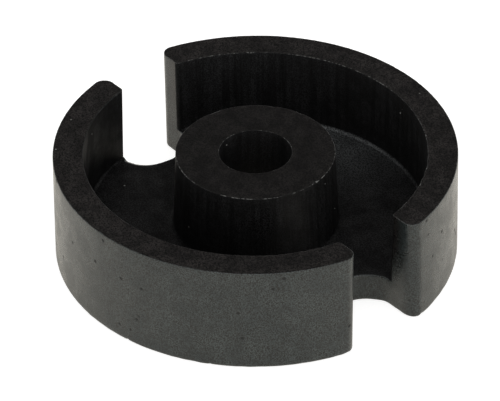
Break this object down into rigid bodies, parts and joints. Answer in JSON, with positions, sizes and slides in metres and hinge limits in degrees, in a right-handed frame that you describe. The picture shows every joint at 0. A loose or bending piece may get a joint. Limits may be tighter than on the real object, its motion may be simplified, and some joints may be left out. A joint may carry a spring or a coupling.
{
  "type": "ferrite pot core half",
  "caption": "Round ferrite cup with a ring wall, a centre post with a through bore, and slots for a coil's leads; its ground faces meet those of a like half.",
  "frame": {"origin": "on the post's axis at the flat back of the core half, which is what it stands on", "axes": "+Z along the post's axis, from the back to the ground mating faces; the two lead slots lie along X"},
  "size_m": [0.0174, 0.018, 0.0052],
  "materials": {
    "ferrite": "fired ferrite: matt dark grey skin on the pressed surfaces, finer and darker on the ground mating faces"
  },
  "bodies": {
    "root": {"core_half": "ferrite"}
  },
  "joints": []
}
